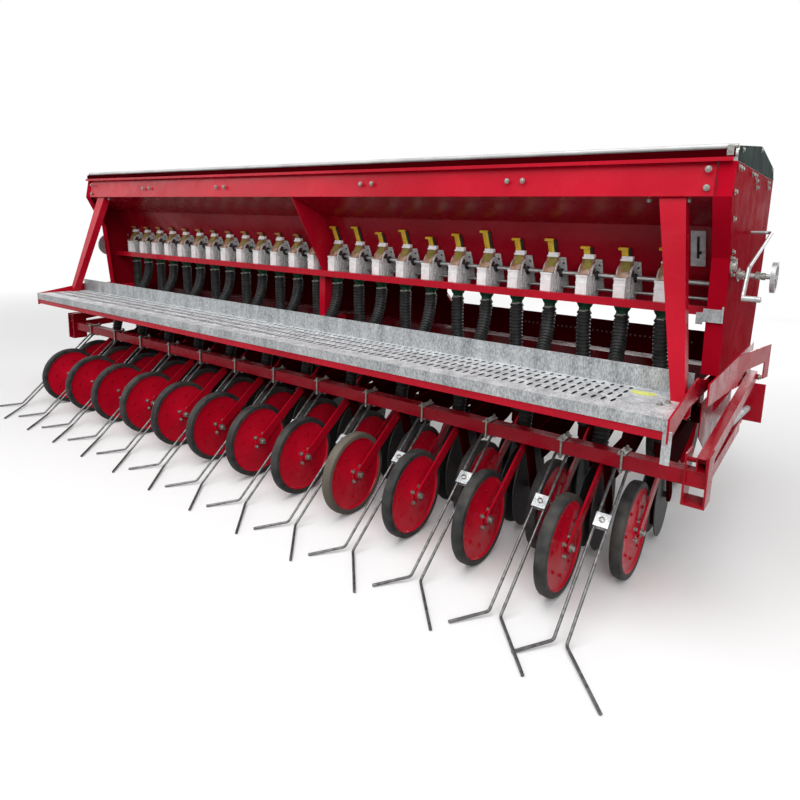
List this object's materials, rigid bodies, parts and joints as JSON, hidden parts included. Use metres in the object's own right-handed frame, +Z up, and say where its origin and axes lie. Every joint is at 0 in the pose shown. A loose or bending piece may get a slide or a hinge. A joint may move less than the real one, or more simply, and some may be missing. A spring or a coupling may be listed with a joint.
{
  "type": "mounted seed drill",
  "caption": "Tractor-mounted mechanical seed drill: long hopper, row of seed meters and hoses, disc openers with press wheels, spring-tine harrow and rear walkway.",
  "frame": {"origin": "on the floor under the middle of the machine, at the centre of its bounding box", "axes": "+X to the machine's right seen from behind, +Y forward to the tractor, +Z up"},
  "size_m": [4.2, 2.1067, 1.5053],
  "materials": {
    "red_paint": "gloss powder coat",
    "press_wheel": "black rubber tyre on a red disc",
    "galvanised_sheet": "spangled galvanised sheet",
    "bright_steel": "plain bright steel",
    "tine_steel": "dull grey spring steel",
    "disc_steel": "dark steel",
    "spring_steel": "black spring steel",
    "tyre_rubber": "matt black rubber",
    "hose_rubber": "black ribbed hose",
    "meter_plastic": "pale moulded plastic",
    "gate_plastic": "yellow graduated strip",
    "cup_plastic": "dark green moulded plastic"
  },
  "bodies": {
    "frame": {"end_plates": "red_paint", "hand_controls": "bright_steel", "headstock": "red_paint", "hitch_ears": "red_paint", "hopper_shell": "red_paint", "hoses": "hose_rubber", "land_arms": "red_paint", "main_beams": "red_paint", "meter_channel": "red_paint", "meter_gates": "gate_plastic", "meter_shafts": "bright_steel", "mid_gusset": "red_paint", "opener_arms": "red_paint", "opener_beam": "red_paint", "opener_discs": "disc_steel", "opener_hangers": "red_paint", "press_arms": "red_paint", "pressure_springs": "spring_steel", "rear_band": "red_paint", "rear_posts": "red_paint", "seed_cups": "cup_plastic", "seed_meters": "meter_plastic", "side_plates": "red_paint", "tread_brackets": "red_paint", "walkway": "galvanised_sheet", "walkway_angles": "red_paint"},
    "lid": {"lid": "galvanised_sheet"},
    "harrow": {"harrow_bar": "red_paint", "harrow_arms": "red_paint", "harrow_tines": "tine_steel", "tine_clamps": "galvanised_sheet"},
    "land_wheel_left": {"land_tyre_left": "tyre_rubber", "land_rim_left": "red_paint"},
    "land_wheel_right": {"land_tyre_right": "tyre_rubber", "land_rim_right": "red_paint"},
    "press_wheel_01": {"press_wheel_01": "press_wheel"},
    "press_wheel_02": {"press_wheel_02": "press_wheel"},
    "press_wheel_03": {"press_wheel_03": "press_wheel"},
    "press_wheel_04": {"press_wheel_04": "press_wheel"},
    "press_wheel_05": {"press_wheel_05": "press_wheel"},
    "press_wheel_06": {"press_wheel_06": "press_wheel"},
    "press_wheel_07": {"press_wheel_07": "press_wheel"},
    "press_wheel_08": {"press_wheel_08": "press_wheel"},
    "press_wheel_09": {"press_wheel_09": "press_wheel"},
    "press_wheel_10": {"press_wheel_10": "press_wheel"},
    "press_wheel_11": {"press_wheel_11": "press_wheel"},
    "press_wheel_12": {"press_wheel_12": "press_wheel"},
    "press_wheel_13": {"press_wheel_13": "press_wheel"},
    "press_wheel_14": {"press_wheel_14": "press_wheel"},
    "press_wheel_15": {"press_wheel_15": "press_wheel"},
    "press_wheel_16": {"press_wheel_16": "press_wheel"},
    "press_wheel_17": {"press_wheel_17": "press_wheel"},
    "press_wheel_18": {"press_wheel_18": "press_wheel"},
    "press_wheel_19": {"press_wheel_19": "press_wheel"},
    "press_wheel_20": {"press_wheel_20": "press_wheel"},
    "press_wheel_21": {"press_wheel_21": "press_wheel"},
    "press_wheel_22": {"press_wheel_22": "press_wheel"},
    "press_wheel_23": {"press_wheel_23": "press_wheel"},
    "press_wheel_24": {"press_wheel_24": "press_wheel"},
    "press_wheel_25": {"press_wheel_25": "press_wheel"}
  },
  "joints": [
    {"name": "lid_hinge", "type": "hinge", "parent": "frame", "child": "lid", "pos_m": [0, 0.65, 1.412], "axis": [-1, 0, 0], "range_deg": [0, 100]},
    {"name": "harrow_pivot", "type": "hinge", "parent": "frame", "child": "harrow", "pos_m": [0, 0.557, 0.581], "axis": [-1, 0, 0], "range_deg": [0, 8]},
    {"name": "land_wheel_left_spin", "type": "hinge", "parent": "frame", "child": "land_wheel_left", "pos_m": [-1.7, 0.68, 0.3], "axis": [1, 0, 0], "continuous": true},
    {"name": "land_wheel_right_spin", "type": "hinge", "parent": "frame", "child": "land_wheel_right", "pos_m": [1.7, 0.68, 0.3], "axis": [1, 0, 0], "continuous": true},
    {"name": "press_wheel_01_spin", "type": "hinge", "parent": "frame", "child": "press_wheel_01", "pos_m": [-1.8, -0.365, 0.171], "axis": [1, 0, 0], "continuous": true},
    {"name": "press_wheel_02_spin", "type": "hinge", "parent": "frame", "child": "press_wheel_02", "pos_m": [-1.65, -0.62, 0.171], "axis": [1, 0, 0], "continuous": true},
    {"name": "press_wheel_03_spin", "type": "hinge", "parent": "frame", "child": "press_wheel_03", "pos_m": [-1.5, -0.365, 0.171], "axis": [1, 0, 0], "continuous": true},
    {"name": "press_wheel_04_spin", "type": "hinge", "parent": "frame", "child": "press_wheel_04", "pos_m": [-1.35, -0.62, 0.171], "axis": [1, 0, 0], "continuous": true},
    {"name": "press_wheel_05_spin", "type": "hinge", "parent": "frame", "child": "press_wheel_05", "pos_m": [-1.2, -0.365, 0.171], "axis": [1, 0, 0], "continuous": true},
    {"name": "press_wheel_06_spin", "type": "hinge", "parent": "frame", "child": "press_wheel_06", "pos_m": [-1.05, -0.62, 0.171], "axis": [1, 0, 0], "continuous": true},
    {"name": "press_wheel_07_spin", "type": "hinge", "parent": "frame", "child": "press_wheel_07", "pos_m": [-0.9, -0.365, 0.171], "axis": [1, 0, 0], "continuous": true},
    {"name": "press_wheel_08_spin", "type": "hinge", "parent": "frame", "child": "press_wheel_08", "pos_m": [-0.75, -0.62, 0.171], "axis": [1, 0, 0], "continuous": true},
    {"name": "press_wheel_09_spin", "type": "hinge", "parent": "frame", "child": "press_wheel_09", "pos_m": [-0.6, -0.365, 0.171], "axis": [1, 0, 0], "continuous": true},
    {"name": "press_wheel_10_spin", "type": "hinge", "parent": "frame", "child": "press_wheel_10", "pos_m": [-0.45, -0.62, 0.171], "axis": [1, 0, 0], "continuous": true},
    {"name": "press_wheel_11_spin", "type": "hinge", "parent": "frame", "child": "press_wheel_11", "pos_m": [-0.3, -0.365, 0.171], "axis": [1, 0, 0], "continuous": true},
    {"name": "press_wheel_12_spin", "type": "hinge", "parent": "frame", "child": "press_wheel_12", "pos_m": [-0.15, -0.62, 0.171], "axis": [1, 0, 0], "continuous": true},
    {"name": "press_wheel_13_spin", "type": "hinge", "parent": "frame", "child": "press_wheel_13", "pos_m": [0, -0.365, 0.171], "axis": [1, 0, 0], "continuous": true},
    {"name": "press_wheel_14_spin", "type": "hinge", "parent": "frame", "child": "press_wheel_14", "pos_m": [0.15, -0.62, 0.171], "axis": [1, 0, 0], "continuous": true},
    {"name": "press_wheel_15_spin", "type": "hinge", "parent": "frame", "child": "press_wheel_15", "pos_m": [0.3, -0.365, 0.171], "axis": [1, 0, 0], "continuous": true},
    {"name": "press_wheel_16_spin", "type": "hinge", "parent": "frame", "child": "press_wheel_16", "pos_m": [0.45, -0.62, 0.171], "axis": [1, 0, 0], "continuous": true},
    {"name": "press_wheel_17_spin", "type": "hinge", "parent": "frame", "child": "press_wheel_17", "pos_m": [0.6, -0.365, 0.171], "axis": [1, 0, 0], "continuous": true},
    {"name": "press_wheel_18_spin", "type": "hinge", "parent": "frame", "child": "press_wheel_18", "pos_m": [0.75, -0.62, 0.171], "axis": [1, 0, 0], "continuous": true},
    {"name": "press_wheel_19_spin", "type": "hinge", "parent": "frame", "child": "press_wheel_19", "pos_m": [0.9, -0.365, 0.171], "axis": [1, 0, 0], "continuous": true},
    {"name": "press_wheel_20_spin", "type": "hinge", "parent": "frame", "child": "press_wheel_20", "pos_m": [1.05, -0.62, 0.171], "axis": [1, 0, 0], "continuous": true},
    {"name": "press_wheel_21_spin", "type": "hinge", "parent": "frame", "child": "press_wheel_21", "pos_m": [1.2, -0.365, 0.171], "axis": [1, 0, 0], "continuous": true},
    {"name": "press_wheel_22_spin", "type": "hinge", "parent": "frame", "child": "press_wheel_22", "pos_m": [1.35, -0.62, 0.171], "axis": [1, 0, 0], "continuous": true},
    {"name": "press_wheel_23_spin", "type": "hinge", "parent": "frame", "child": "press_wheel_23", "pos_m": [1.5, -0.365, 0.171], "axis": [1, 0, 0], "continuous": true},
    {"name": "press_wheel_24_spin", "type": "hinge", "parent": "frame", "child": "press_wheel_24", "pos_m": [1.65, -0.62, 0.171], "axis": [1, 0, 0], "continuous": true},
    {"name": "press_wheel_25_spin", "type": "hinge", "parent": "frame", "child": "press_wheel_25", "pos_m": [1.8, -0.365, 0.171], "axis": [1, 0, 0], "continuous": true}
  ]
}
